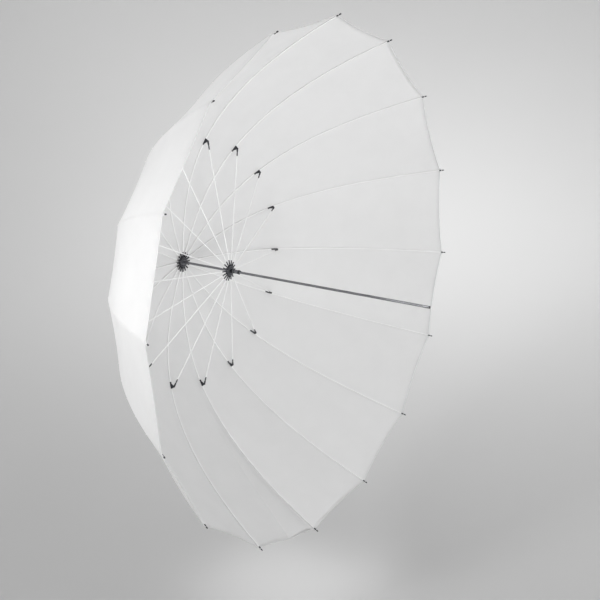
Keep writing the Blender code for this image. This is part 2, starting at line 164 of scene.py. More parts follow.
def metal(name, dark, light, rough_low, rough_high, grain, stretch=(1, 1, 1)):
    """Plated or drawn metal: two close tones and a roughness that follow its grain."""
    material, tree, place = new_material(name)
    drawn = add(tree, "ShaderNodeMapping", {"Vector": place, "Scale": stretch}).outputs[0]
    fine = noise(tree, drawn, grain, 3.0)
    share = add(tree, "ShaderNodeMapRange", {
        "Value": fine, "From Min": 0.3, "From Max": 0.7}).outputs["Result"]
    rough = add(tree, "ShaderNodeMapRange", {
        "Value": fine, "To Min": rough_low, "To Max": rough_high}).outputs["Result"]
    surface(tree, principled(
        tree, Base_Color=tone(tree, share, dark, light), Roughness=rough, Metallic=1.0,
        Normal=bump(tree, fine, 0.12, 0.05 * MM)))
    return material


def grained(name, dark, light, scale, detail, strength, depth, **inputs):
    """A material whose tone and relief follow one fine grain."""
    material, tree, place = new_material(name)
    grain = noise(tree, place, scale, detail)
    surface(tree, principled(tree, Base_Color=tone(tree, grain, dark, light),
                             Normal=bump(tree, grain, strength, depth), **inputs))
    return material


def clean(name, bm, sharp=35):
    """A bmesh with its doubles merged and its faces outwards, shaded smooth, as a mesh."""
    bmesh.ops.remove_doubles(bm, verts=bm.verts, dist=0.005 * MM)
    bmesh.ops.recalc_face_normals(bm, faces=bm.faces)
    return smoothed(name, bm, sharp)


def smoothed(name, bm, sharp):
    """A bmesh as a mesh, shaded smooth up to a sharp angle in degrees."""
    mesh = bpy.data.meshes.new(name)
    bm.to_mesh(mesh)
    bm.free()
    mesh.shade_smooth()
    mesh.set_sharp_from_angle(angle=radians(sharp))
    return mesh


def skin(bm, rings):
    """Joins neighbouring rings of points with faces."""
    steps = len(rings[0])
    for near, far in zip(rings, rings[1:]):
        for k in range(steps):
            after = (k + 1) % steps
            face = list(dict.fromkeys((near[k], far[k], far[after], near[after])))
            if len(face) > 2:
                bm.faces.new(face)


def revolved(name, profile, place, steps, sharp):
    """A profile of (radius, distance) points turned about an axis, as place says."""
    bm = bmesh.new()
    rings = []
    for radius, distance in profile:
        if radius == 0:
            rings.append([bm.verts.new(place(0, distance, 0))] * steps)
        else:
            rings.append([bm.verts.new(place(radius, distance, 2 * pi * k / steps))
                          for k in range(steps)])
    skin(bm, rings)
    return clean(name, bm, sharp)


def turned(name, profile, steps=64):
    """A closed (r, s) profile turned about the shaft axis. Points on r = 0 close it."""
    def place(r, s, angle):
        return r * sin(angle), crown_y - s, r * cos(angle)

    return revolved(name, profile + profile[:1], place, steps, 35)


def extruded(name, outline, low, high):
    """A flat plate in a rib's plane: an (r, s) outline from t = low to t = high."""
    bm = bmesh.new()
    sides = [[bm.verts.new((r, t, s)) for r, s in outline] for t in (low, high)]
    for side in sides:
        bm.faces.new(side)
    skin(bm, sides)
    return clean(name, bm)


def box_outline(low_r, high_r, low_s, high_s):
    return [(low_r, low_s), (high_r, low_s), (high_r, high_s), (low_r, high_s)]


def shaped(mesh, *modifiers):
    """The mesh after modifiers, each given as (kind, settings)."""
    maker = bpy.data.objects.new(mesh.name, mesh)
    bpy.context.scene.collection.objects.link(maker)
    helpers = []
    for kind, settings in modifiers:
        modifier = maker.modifiers.new(kind.lower(), kind)
        for name, value in settings.items():
            if isinstance(value, bpy.types.Mesh):
                value = bpy.data.objects.new(value.name, value)
                bpy.context.scene.collection.objects.link(value)
                helpers.append(value)
            setattr(modifier, name, value)
    graph = bpy.context.evaluated_depsgraph_get()
    result = bpy.data.meshes.new_from_object(maker.evaluated_get(graph))
    for obj in (maker, *helpers):
        bpy.data.objects.remove(obj)
    return result


def cut(mesh, *cutters):
    """The mesh with other meshes cut away from it."""
    return shaped(mesh, *[("BOOLEAN", {"operation": "DIFFERENCE", "object": cutter})
                          for cutter in cutters])


def soft_edges(mesh, width):
    """The mesh with its sharp edges rounded to a small width."""
    mesh = shaped(mesh, ("BEVEL", {"width": width, "segments": 2, "limit_method": "ANGLE",
                                   "angle_limit": radians(35)}))
    mesh.shade_smooth()
    mesh.set_sharp_from_angle(angle=radians(50))
    return mesh


def piece(name, mesh, material, body, slot, *replaced):
    """A finished piece that rides on a body and takes the place of CAD nodes."""
    obj = bpy.data.objects.new(name, mesh)
    bpy.context.scene.collection.objects.link(obj)
    if material:
        mesh.materials.clear()
        mesh.materials.append(material)
    if body:
        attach(obj, body)
    if replaced:
        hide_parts(*replaced)
    return obj


shaft_start, shaft_end, shaft_radius = span("shaft_tube")
shaft_bore = shaft_radius - 0.8 * MM
catch_low, catch_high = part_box("catch_lever")
catch_start, catch_end, catch_half = span("catch_lever")
slot_half = catch_half + 0.3 * MM
slot_start = catch_start - 0.6 * MM
slot_length = 9.6 * MM
edge = 0.3 * MM

plated_steel = metal(
    "drawn_nickel_plated_steel", "#737477", "#929396", 0.2, 0.34, 900, (1, 0.03, 1))
# Black polypropylene, moulded with the fine matt grain of its mould.
black_plastic = grained("moulded_black_polypropylene", "#141415", "#1E1E20", 1 / (0.6 * MM), 3.0,
                        0.25, 0.03 * MM, Roughness=0.5, IOR=1.49)

tube = turned("shaft", [
    (shaft_bore, shaft_start + edge), (shaft_bore + edge, shaft_start),
    (shaft_radius - edge, shaft_start), (shaft_radius, shaft_start + edge),
    (shaft_radius, shaft_end - edge), (shaft_radius - edge, shaft_end),
    (shaft_bore + edge, shaft_end), (shaft_bore, shaft_end - edge)])
slot_cutter = extruded(
    "slot_cutter", box_outline(0, 3 * shaft_radius, slot_start, slot_start + slot_length),
    -slot_half, slot_half)
slot_cutter.transform(plane(0))
piece("shaft", cut(tube, slot_cutter), plated_steel, "shaft", "shaft_steel", "shaft_tube")

cap_start, cap_end, _ = span("shaft_end_cap")
cap_lip = 2.0 * MM
piece("shaft_cap", turned("shaft_cap", [
    (0, cap_start), (shaft_bore - 2 * edge, cap_start), (shaft_bore - edge, cap_start + 2 * edge),
    (shaft_bore - edge, cap_end - cap_lip), (shaft_radius - edge / 2, cap_end - cap_lip),
    (shaft_radius, cap_end - cap_lip + edge / 2), (shaft_radius, cap_end - 2 * edge),
    (shaft_radius - edge / 2, cap_end - edge), (shaft_radius - 2 * edge, cap_end), (0, cap_end)]),
    black_plastic, "shaft", "black_plastic", "shaft_end_cap")


# Crown hub: a notched ring die-cast in zinc and tumbled. Each notch takes the eye of one rib,
# and a ring wire in the groove round the rim runs through all the eyes.

# Zinc alloy plated gunmetal: dark and half bright.
gunmetal = metal("gunmetal_plated_zinc", "#37383B", "#525357", 0.26, 0.4, 260)
# The hubs are the same casting, tumbled bright: lighter, with a satin skin.
tumbled_zinc = metal("tumbled_zinc_casting", "#606165", "#808185", 0.3, 0.45, 260)
# Hard-drawn spring wire with a light oil film.
spring_wire = metal("hard_drawn_spring_wire", "#77787B", "#9B9C9F", 0.2, 0.34, 700)

pivot_radius = in_plane(joints["rib_01_fold"]["pos_m"])[0]
hub_start, hub_end, hub_radius = span("crown_hub")
hub_half = (hub_end - hub_start) / 2
hub_chamfer = 1.2 * MM
hub_core = 9.8 * MM
hub_bore = shaft_radius + 0.3 * MM
wire_radius = 0.7 * MM
notch_half = 1.4 * MM
# How far from its ring wire a fitting must narrow to pass the hub's corners as it folds.
hub_swing = hypot(hub_radius - pivot_radius, hub_half) + edge
groove_half = wire_radius + 0.4 * MM
rib_angles = {number: atan2(joints[f"rib_{number}_fold"]["pos_m"][0],
                            joints[f"rib_{number}_fold"]["pos_m"][2]) for number in rib_numbers}


def notched_hub(name, middle):
    """A turned ring with a wire groove, notched once for each rib, with soft cast edges."""
    floor = pivot_radius - groove_half
    ring = turned(name, [
        (hub_bore, middle - hub_half), (hub_radius - hub_chamfer, middle - hub_half),
        (hub_radius, middle - hub_half + hub_chamfer), (hub_radius, middle - groove_half),
        (floor, middle - groove_half), (floor, middle + groove_half),
        (hub_radius, middle + groove_half), (hub_radius, middle + hub_half - hub_chamfer),
        (hub_radius - hub_chamfer, middle + hub_half), (hub_bore, middle + hub_half)], 96)
    notches = bmesh.new()
    for angle in rib_angles.values():
        notch = extruded("notch", box_outline(
            hub_core, 2 * hub_radius, middle - 2 * hub_half, middle + 2 * hub_half),
            -notch_half, notch_half)
        notch.transform(plane(angle))
        notches.from_mesh(notch)
    return soft_edges(cut(ring, clean("notches", notches)), 0.2 * MM)


def ring_wire(name, middle, sides=12):
    return turned(name, [
        (pivot_radius + wire_radius * cos(2 * pi * k / sides),
         middle + wire_radius * sin(2 * pi * k / sides)) for k in range(sides)], 96)


def hub_and_wire(place, middle):
    """The notched ring and the ring wire of the crown or of the runner."""
    body = "shaft" if place == "crown" else "runner"
    piece(f"hub_at_{place}", notched_hub(f"hub_at_{place}", middle), tumbled_zinc, body,
          "dark_metal", f"{place}_hub")
    piece(f"wire_at_{place}", ring_wire(f"wire_at_{place}", middle), spring_wire, body,
          "spring_steel", f"{place}_wire")


hub_and_wire("crown", 0)


# Runner: a second notched ring, for the stretchers, on a sleeve that slides on the shaft.
# The sleeve is turned, with a ribbed band that the thumb and finger grip.

runner_s = in_plane(joints["runner_slide"]["pos_m"])[1]
sleeve_start, sleeve_end, collar_radius = span("runner_sleeve")
sleeve_radius = collar_radius - 0.9 * MM


def new_geometry_tree(name, numbers, counts=()):
    """A Geometry Nodes tree with named numbers, counts and a material as its inputs."""
    tree = bpy.data.node_groups.new(name, "GeometryNodeTree")
    kinds = {"Geometry": "Geometry", **dict.fromkeys(numbers, "Float"),
             **dict.fromkeys(counts, "Int"), "Material": "Material"}
    for socket, kind in kinds.items():
        tree.interface.new_socket(socket, in_out="INPUT", socket_type=f"NodeSocket{kind}")
    tree.interface.new_socket("Geometry", in_out="OUTPUT", socket_type="NodeSocketGeometry")
    return tree, add(tree, "NodeGroupInput").outputs


def finish_tree(tree, given, geometry):
    """Ends a tree: real geometry, shaded smooth, with the material it was given."""
    solid = add(tree, "GeometryNodeRealizeInstances", {"Geometry": geometry})
    smooth = add(tree, "GeometryNodeSetShadeSmooth", {"Geometry": solid.outputs[0]})
    finish = add(tree, "GeometryNodeSetMaterial", {
        "Geometry": smooth.outputs[0], "Material": given["Material"]})
    tree.links.new(finish.outputs[0], add(tree, "NodeGroupOutput").inputs[0])
    return tree


def circle(tree, radius, points):
    return add(tree, "GeometryNodeCurvePrimitiveCircle", {
        "Resolution": points, "Radius": radius}, mode="RADIUS").outputs["Curve"]


def round_skin(tree, curve, radius, sides):
    """A round section run along a curve, with closed ends."""
    return add(tree, "GeometryNodeCurveToMesh", {
        "Curve": curve, "Profile Curve": circle(tree, radius, sides),
        "Fill Caps": True}).outputs[0]


def grown(name, base, tree, **values):
    """What a Geometry Nodes tree makes from a base mesh, as a plain mesh."""
    maker = bpy.data.objects.new(name, base)
    bpy.context.scene.collection.objects.link(maker)
    modifier = maker.modifiers.new(tree.name, "NODES")
    modifier.node_group = tree
    for item in tree.interface.items_tree:
        if item.in_out == "INPUT" and item.name in values:
            modifier[item.identifier] = values[item.name]
    graph = bpy.context.evaluated_depsgraph_get()
    mesh = bpy.data.meshes.new_from_object(maker.evaluated_get(graph))
    mesh.name = name
    bpy.data.objects.remove(maker)
    return mesh


def polylines(name, *lines):
    """Lines of points as one mesh, for a tree to follow."""
    points = []
    edges = []
    for line in lines:
        edges += [(len(points) + i, len(points) + i + 1) for i in range(len(line) - 1)]
        points += [tuple(p) for p in line]
    mesh = bpy.data.meshes.new(name)
    mesh.from_pydata(points, edges, [])
    return mesh


seed = polylines("seed", [(0, 0, 0), (0, 0, MM)])


def grip_ribs_tree():
    """Round-nosed ribs along the shaft, set at even angles round a sleeve."""
    tree, given = new_geometry_tree("grip_ribs", ("Sleeve", "Length", "Rib"), ["Count"])
    bar = add(tree, "GeometryNodeMeshCylinder", {
        "Vertices": 8, "Radius": given["Rib"], "Depth": given["Length"]})
    copies = add(tree, "GeometryNodeInstanceOnPoints", {
        "Points": circle(tree, given["Sleeve"], given["Count"]),
        "Instance": bar.outputs["Mesh"]})
    return finish_tree(tree, given, copies.outputs[0])


grip_maker = grip_ribs_tree()


def grip_ribs(name, count, radius, length, rib, material, middle, body, slot):
    """A band of grip ribs about the shaft, centred on middle."""
    band = grown(name, seed, grip_maker, Count=count, Sleeve=radius, Length=length, Rib=rib,
                 Material=material)
    band.transform(Matrix.Translation((0, crown_y - middle, 0)) @ Matrix.Rotation(pi / 2, 4, "X"))
    piece(name, band, None, body, slot)


def ring_band(name, start, end):
    """A plain collar round the sleeve, with its edges broken."""
    ring = turned(name, [
        (hub_bore, start), (collar_radius - edge, start), (collar_radius, start + edge),
        (collar_radius, end - edge), (collar_radius - edge, end), (hub_bore, end)])
    piece(name, ring, gunmetal, "runner", "dark_metal")


hub_and_wire("runner", runner_s)
collar = 7.0 * MM
end_ring = 4.0 * MM
band_margin = 2.5 * MM
ring_start = sleeve_end - end_ring
band_start = sleeve_start + collar + band_margin
band_end = ring_start - band_margin
sleeve = turned("sleeve", [
    (hub_bore, sleeve_start + collar), (sleeve_radius, sleeve_start + collar),
    (sleeve_radius, band_start), (sleeve_radius - edge, band_start + edge),
    (sleeve_radius - edge, band_end - edge), (sleeve_radius, band_end),
    (sleeve_radius, ring_start), (hub_bore, ring_start)])
piece("runner_tube", sleeve, plated_steel, "runner", "dark_metal", "runner_sleeve")
ring_band("runner_collar", sleeve_start, sleeve_start + collar)
ring_band("runner_end_ring", ring_start, sleeve_end)
grip_ribs("runner_grip", 28, sleeve_radius - edge, band_end - band_start - 2 * edge, 0.42 * MM,
          plated_steel, (band_start + band_end) / 2, "runner", "dark_metal")


# Catch: a hardened steel lever on a cross rivet inside the tube. A small coil spring holds
# its nose up through the slot, in the way of the runner's sleeve.

catch_hinge = Vector(joints["catch_press"]["pos_m"])
lever_low = catch_low.z
lever_high = catch_low.z + 1.7 * MM
lever_corner = 0.6 * MM
nose_top = catch_high.z
nose_end = catch_start + 8.0 * MM
lever = extruded("catch", [
    (lever_low, catch_start), (nose_top - 0.4 * MM, catch_start),
    (nose_top, catch_start + 0.4 * MM), (nose_top, catch_start + 1.6 * MM),
    (nose_top - 0.5 * MM, catch_start + 2.8 * MM), (shaft_radius, nose_end),
    (lever_high, nose_end), (lever_high, catch_end - lever_corner),
    (lever_high - lever_corner, catch_end), (lever_low + lever_corner, catch_end),
    (lever_low, catch_end - lever_corner)], -catch_half, catch_half)
lever.transform(plane(0))
piece("catch", soft_edges(lever, 0.12 * MM), gunmetal, "catch", "dark_metal", "catch_lever")

rivet = bmesh.new()
for side in (-1, 1):
    head = Matrix.Translation((side * shaft_radius, catch_hinge.y, catch_hinge.z))
    bmesh.ops.create_uvsphere(
        rivet, u_segments=20, v_segments=10, radius=1.2 * MM,
        matrix=head @ Matrix.Diagonal((0.45, 1, 1, 1)))
piece("catch_rivet", clean("catch_rivet", rivet), plated_steel, "shaft", "shaft_steel")


def coil_tree():
    """A coil of round wire standing on the origin."""
    tree, given = new_geometry_tree("coil", ("Turns", "Coil", "Height", "Wire"), ["Steps"])
    helix = add(tree, "GeometryNodeCurveSpiral", {
        "Resolution": given["Steps"], "Rotations": given["Turns"], "Height": given["Height"],
        "Start Radius": given["Coil"], "End Radius": given["Coil"]})
    return finish_tree(tree, given,
                       round_skin(tree, helix.outputs["Curve"], given["Wire"], 8))


spring_low, spring_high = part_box("catch_spring")
spring_height = spring_high.z - spring_low.z
coil_wire = 0.15 * MM
coil_maker = coil_tree()
coil = grown("catch_coil", seed, coil_maker, Turns=4.0, Steps=24, Wire=coil_wire,
             Coil=(spring_high.x - spring_low.x) / 2 - coil_wire,
             Height=spring_height - 2 * coil_wire, Material=spring_wire)
coil_y = (spring_low.y + spring_high.y) / 2
coil.transform(Matrix.Translation((0, coil_y, spring_low.z + coil_wire)))
coil_piece = piece("catch_coil", coil, None, "shaft", "spring_steel", "catch_spring")
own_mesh(coil_piece)


# Ribs: pultruded white glass fibre rods of 3.6 mm, one piece from crown to tip. A pressed
# steel ferrule with a flat eye holds the rod at the crown, a folded bracket with an ear and a
# rivet takes the stretcher, and a turned ferrule caps the tip where the hem is tied.

tip_points = [v.co for v in frame["nodes"]["rib_outer_01"].data.vertices]
tip_low = min(p.y for p in tip_points)
tip_ring = [p for p in tip_points if p.y < tip_low + 1.0 * MM]
rim = in_plane(sum(tip_ring, Vector()) / len(tip_ring))
rim_radius, rim_depth = rim
flex_point = in_plane(joints["rib_01_flex"]["pos_m"])
curve_power = log(flex_point[1] / rim_depth) / log(flex_point[0] / rim_radius)
pin_point = in_plane(joints["strut_01_pivot"]["pos_m"])
rod_radius = 1.8 * MM
flex_gap = 1.6 * MM


def curve_s(r):
    """Axial place of the rib's centre line at distances r from the shaft."""
    return rim_depth * (np.maximum(r, 0) / rim_radius) ** curve_power


def curve_angle(r):
    """Angle of the rib's centre line from the plane of the crown pivots."""
    return np.arctan2(curve_power * rim_depth / rim_radius
                      * (r / rim_radius) ** (curve_power - 1), 1)


def along(point, angle, distance):
    return (point[0] + distance * cos(angle), point[1] + distance * sin(angle))


joint_angle = curve_angle(flex_point[0])
joint_point = along(flex_point, joint_angle, -flex_gap)
tip_angle = curve_angle(rim_radius)


def lofted(name, sections, sides=20):
    """Rings along a path in the plane of a rib, skinned and capped. A section is ((r, s),
    angle, half width, half height, squareness), where 2 is round and 6 is nearly square."""
    bm = bmesh.new()
    rings = []
    for (r, s), angle, width, height, square in sections:
        ring = []
        for k in range(sides):
            turn = 2 * pi * (k + 0.5) / sides
            across = abs(cos(turn)) ** (2 / square) * (1 if cos(turn) > 0 else -1) * width
            up = abs(sin(turn)) ** (2 / square) * (1 if sin(turn) > 0 else -1) * height
            ring.append(bm.verts.new((r - sin(angle) * up, across, s + cos(angle) * up)))
        rings.append(ring)
    skin(bm, rings)
    bm.faces.new(rings[0])
    bm.faces.new(rings[-1])
    return clean(name, bm, 40)


def pin_through(name, point, radius, half, dome=0.0):
    """A round pin across a rib's plane at a point, with domed heads if asked."""
    def place(rad, t, angle):
        return point[0] + rad * cos(angle), t, point[1] + rad * sin(angle)

    profile = [(0, -half - dome), (radius * 0.6, -half - dome * 0.8), (radius, -half),
               (radius, half), (radius * 0.6, half + dome * 0.8), (0, half + dome)]
    return revolved(name, profile, place, 24, 40)


def joined(name, *meshes):
    """Several meshes as one, each part a closed body of its own."""
    bm = bmesh.new()
    for mesh in meshes:
        bm.from_mesh(mesh)
    return smoothed(name, bm, 40)


def rod_tree():
    """A round rod along a line of points."""
    tree, given = new_geometry_tree("rod", ["Radius"], ["Sides"])
    path = add(tree, "GeometryNodeMeshToCurve", {"Mesh": given["Geometry"]}).outputs[0]
    return finish_tree(tree, given, round_skin(tree, path, given["Radius"], given["Sides"]))


# Pultruded glass fibre in white polyester: glossy, with faint fibres under a thin clear coat.
white_rod = grained("white_pultruded_glass_fibre", "#F0F0F0", "#F8F8F8", 420, 4.0, 0.15,
                    0.04 * MM, Roughness=0.38, IOR=1.5, Coat_Weight=0.2, Coat_Roughness=0.2)
rod_maker = rod_tree()

eye_height = 3.2 * MM
eye_half = 1.0 * MM
eye_end = 0.6 * MM
hole_radius = wire_radius + 0.35 * MM
ferrule_end = pivot_radius + 20 * MM
ferrule_radius = 2.5 * MM
bracket_length = 24 * MM
bracket_half = 2.4 * MM
bracket_height = 2.6 * MM
blade_half = 0.8 * MM
pin_radius = 1.0 * MM
fork_half = 2.4 * MM
tip_radius = 2.1 * MM


def on_curve(r, width, height, square=2.0):
    return ((r, curve_s(r)), curve_angle(max(r, MM)), width, height, square)


def crown_ferrule():
    """The flat eye, its neck and the crimped tube round the rod."""
    start = pivot_radius + hub_swing
    rings = [((pivot_radius + eye_height * cos(a), 0), 0, eye_half,
              max(eye_height * sin(a), eye_end), 5.0)
             for a in (pi * 0.96, pi * 0.85, pi * 0.72, pi * 0.58, pi * 0.5)]
    rings += [on_curve(start, eye_half, eye_height * 0.9, 5.0),
              on_curve(start + 1.4 * MM, ferrule_radius * 0.85, ferrule_radius, 2.4)]
    for place, size in ((0.2, 1.0), (0.34, 1.0), (0.38, 0.86), (0.44, 0.86), (0.48, 1.0),
                        (0.72, 1.0), (0.76, 0.86), (0.82, 0.86), (0.86, 1.0), (0.97, 1.0),
                        (1.0, 0.9)):
        r = start + (ferrule_end - start) * place
        rings.append(on_curve(r, ferrule_radius * size * 0.96, ferrule_radius * size))
    hole = pin_through("hole", (pivot_radius, 0), hole_radius, 3 * eye_half)
    return cut(lofted("crown_ferrule", rings), hole)


def bracket_parts():
    """The folded sleeve on the rod, its ear and the stretcher rivet."""
    rings = []
    for place, size in ((1.0, 0.86), (0.96, 1.0), (0.8, 1.0), (0.76, 0.93), (0.7, 0.93),
                        (0.66, 1.0), (0.3, 1.0), (0.26, 0.93), (0.2, 0.93), (0.16, 1.0),
                        (0.02, 1.0), (0.0, 0.86)):
        r = joint_point[0] - bracket_length * place * cos(joint_angle)
        rings.append(on_curve(r, bracket_half * size, bracket_height * size, 2.6))
    back = along(joint_point, joint_angle, -bracket_length + 2 * MM)
    front = along(joint_point, joint_angle, -1.0 * MM)
    arc = [along(pin_point, joint_angle + pi * k / 8 * 0.8, 2.3 * MM) for k in range(9)]
    ear = soft_edges(extruded("ear", [back, front, *arc], -blade_half, blade_half), 0.15 * MM)
    shank = pin_through("rivet", pin_point, pin_radius, fork_half + 0.1 * MM)
    heads = [pin_through("head", pin_point, 1.9 * MM, 0.25 * MM, 0.5 * MM) for _ in (0, 1)]
    for head, side in zip(heads, (-1, 1)):
        head.transform(Matrix.Translation((0, side * (fork_half + 0.3 * MM), 0)))
    return joined("bracket_with_rivet", lofted("bracket", rings), ear, shank, *heads)


def tip_ferrule():
    """The turned cap on the end of the rod, with the groove that holds the hem cord."""
    return lofted("tip_ferrule", [
        (along(rim, tip_angle, -place * MM), tip_angle, tip_radius * size, tip_radius * size, 2.0)
        for place, size in ((17.0, 0.92), (16.6, 1.0), (9.0, 1.0), (8.6, 0.8), (7.2, 0.8),
                            (6.8, 1.0), (3.6, 1.0), (3.0, 0.72), (2.2, 0.72), (1.6, 0.98),
                            (0.7, 0.94), (0.1, 0.6), (-0.2, 0.2))])


def rib_rod(start, length):
    """A stretch of the rib's curved rod from a distance r from the shaft."""
    places = start + length * np.linspace(0, 1, 49)
    path = np.stack([places, np.zeros(49), curve_s(places)], -1)
    return grown("rib_rod", polylines("rod_path", path.tolist()), rod_maker,
                 Radius=rod_radius, Sides=16, Material=white_rod)


def on_each_rib(name, mesh, material, body, slot, node=None):
    """A copy of a mesh in the plane of each rib, riding on the body of that number."""
    copies = {}
    for number in rib_numbers:
        copy = mesh.copy()
        copy.transform(plane(rib_angles[number]))
        replaced = [f"{node}_{number}"] if node else []
        copies[number] = piece(
            f"{name}_{number}", copy, material, f"{body}_{number}", slot, *replaced)
    return copies


rod_start = ferrule_end - 6 * MM
inner_rod = rib_rod(rod_start, joint_point[0] - rod_start)
outer_rod = rib_rod(joint_point[0] - 0.5 * MM, rim_radius - joint_point[0] - 3 * MM)
on_each_rib("rib_rod", inner_rod, None, "rib", "glass_fibre", "rib_inner")
on_each_rib("rib_end_rod", outer_rod, None, "rib_end", "glass_fibre", "rib_outer")
on_each_rib("rib_fittings", joined("rib_fittings", crown_ferrule(), bracket_parts()), gunmetal,
            "rib", "dark_metal")
on_each_rib("rib_tip", tip_ferrule(), gunmetal, "rib_end", "dark_metal")


# Stretchers: thinner glass fibre rods. A pressed fork straddles the ear of the rib bracket,
# and a flat eye runs on the ring wire of the runner.

link_length = hypot(pin_point[0] - pivot_radius, pin_point[1] - runner_s)
link_angle = atan2(runner_s - pin_point[1], pivot_radius - pin_point[0])
stretcher_radius = 1.5 * MM
fork_height = 2.2 * MM
fork_length = 9 * MM
fork_ferrule = 28 * MM
eye_ferrule = 21 * MM
tube_half = 2.1 * MM
tube_height = 2.2 * MM
crimp_half = 1.8 * MM


def on_link(distance, width, height, square=2.0):
    """A section of the stretcher, measured from the rib pin."""
    return (along(pin_point, link_angle, distance), link_angle, width, height, square)


def stretcher_fittings():
    """The crimped fork at the rib and the crimped eye at the runner."""
    rings = [on_link(place * fork_height, fork_half, size * fork_height, 7.0)
             for place, size in ((-0.92, 0.5), (-0.6, 0.85), (0, 1.0), (4.1, 1.0))]
    rings.append(on_link(fork_length + 3 * MM, tube_half, 2.25 * MM, 2.6))
    rings += [on_link(place * fork_ferrule, tube_half * size, tube_height * size)
              for place, size in ((0.5, 1.0), (0.53, 0.86), (0.58, 0.86), (0.61, 1.0),
                                  (0.85, 1.0), (0.88, 0.86), (0.92, 0.86), (0.95, 1.0),
                                  (0.995, 1.0), (1.0, 0.84))]
    reach = 4 * fork_height
    corners = ((-reach, -reach), (fork_length - MM, -reach), (fork_length - MM, reach),
               (-reach, reach))
    slot = extruded("slot", [
        along(along(pin_point, link_angle, distance), link_angle + pi / 2, side)
        for distance, side in corners], -blade_half - 0.4 * MM, blade_half + 0.4 * MM)
    bearing = pin_through("bearing", pin_point, pin_radius + 0.3 * MM, 2 * fork_half)
    fork = cut(lofted("fork", rings), slot, bearing)
    start = link_length - eye_ferrule
    neck = link_length - hub_swing
    rings = [on_link(start + place, half, height)
             for place, half, height in (
                 (0, crimp_half, 1.8 * MM), (edge, tube_half, tube_height),
                 (3 * MM, tube_half, tube_height), (4 * MM, crimp_half, 1.9 * MM),
                 (6 * MM, crimp_half, 1.9 * MM), (7 * MM, tube_half, tube_height))]
    rings += [on_link(neck - 2 * MM, tube_half, 2.25 * MM), on_link(neck, eye_half, 2.3 * MM, 5.0)]
    rings += [on_link(link_length + eye_height * cos(a), eye_half,
                      max(eye_height * sin(a), eye_end), 5.0)
              for a in (pi * 0.5, pi * 0.42, pi * 0.28, pi * 0.15, pi * 0.04)]
    runner_point = along(pin_point, link_angle, link_length)
    hole = pin_through("hole", runner_point, hole_radius, 3 * eye_half)
    return joined("stretcher_fittings", fork, cut(lofted("runner_eye", rings), hole))


stretcher_path = []
for distance in (fork_ferrule - 5 * MM, link_length / 2, link_length - eye_ferrule + 5 * MM):
    r, s = along(pin_point, link_angle, distance)
    stretcher_path.append((r, 0, s))
stretcher_rod = grown("stretcher_rod", polylines("stretcher_path", stretcher_path), rod_maker,
                      Radius=stretcher_radius, Sides=14, Material=white_rod)
on_each_rib("stretcher_rod", stretcher_rod, None, "strut", "glass_fibre", "stretcher")
on_each_rib("stretcher_fittings", stretcher_fittings(), gunmetal, "strut", "dark_metal")


# Canopy: sixteen gores of white nylon, sewn together along the ribs and drawn tight between
# the tips. Each gore hangs as a shallow saddle: its seams stand on the ribs and its middle
# is pulled in towards the mouth.

cloth_stand = 3.1 * MM
hem_setback = 14 * MM
hem_point = along(rim, tip_angle, -hem_setback)
crown_ring = 5.0 * MM
crown_panel_end = 46 * MM

# The seam line stands on the outer side of the rods, and near the crown it lies over the hub.
over_hub = hub_half + 1.0 * MM
seam_r = np.linspace(crown_ring, hem_point[0], 400)
seam_s = curve_s(seam_r)
seam_slope = curve_angle(seam_r)
seam_lift = cloth_stand + (over_hub - cloth_stand) * np.exp(
    -(np.maximum(seam_r - hub_radius, 0) / (60 * MM)) ** 2)
seam_r = seam_r + np.sin(seam_slope) * seam_lift
seam_s = seam_s - np.cos(seam_slope) * seam_lift
seam_lengths = np.concatenate([[0], np.cumsum(np.hypot(np.diff(seam_r), np.diff(seam_s)))])
seam_length = float(seam_lengths[-1])
joint_length = float(np.interp(flex_point[0], seam_r, seam_lengths))
crown_length = float(np.interp(crown_panel_end, seam_r, seam_lengths))

rng = np.random.default_rng(16)
gore_sag = {number: 6.5 * MM * rng.uniform(0.8, 1.2) for number in rib_numbers}
fold_phase = {number: rng.uniform(0, 2 * pi, 2) for number in rib_numbers}
# One gore beside the lowest rib was pitched a little slack and keeps a soft fold.
slack_gore = rib_numbers[len(rib_numbers) // 2]
slack_depth = 17 * MM


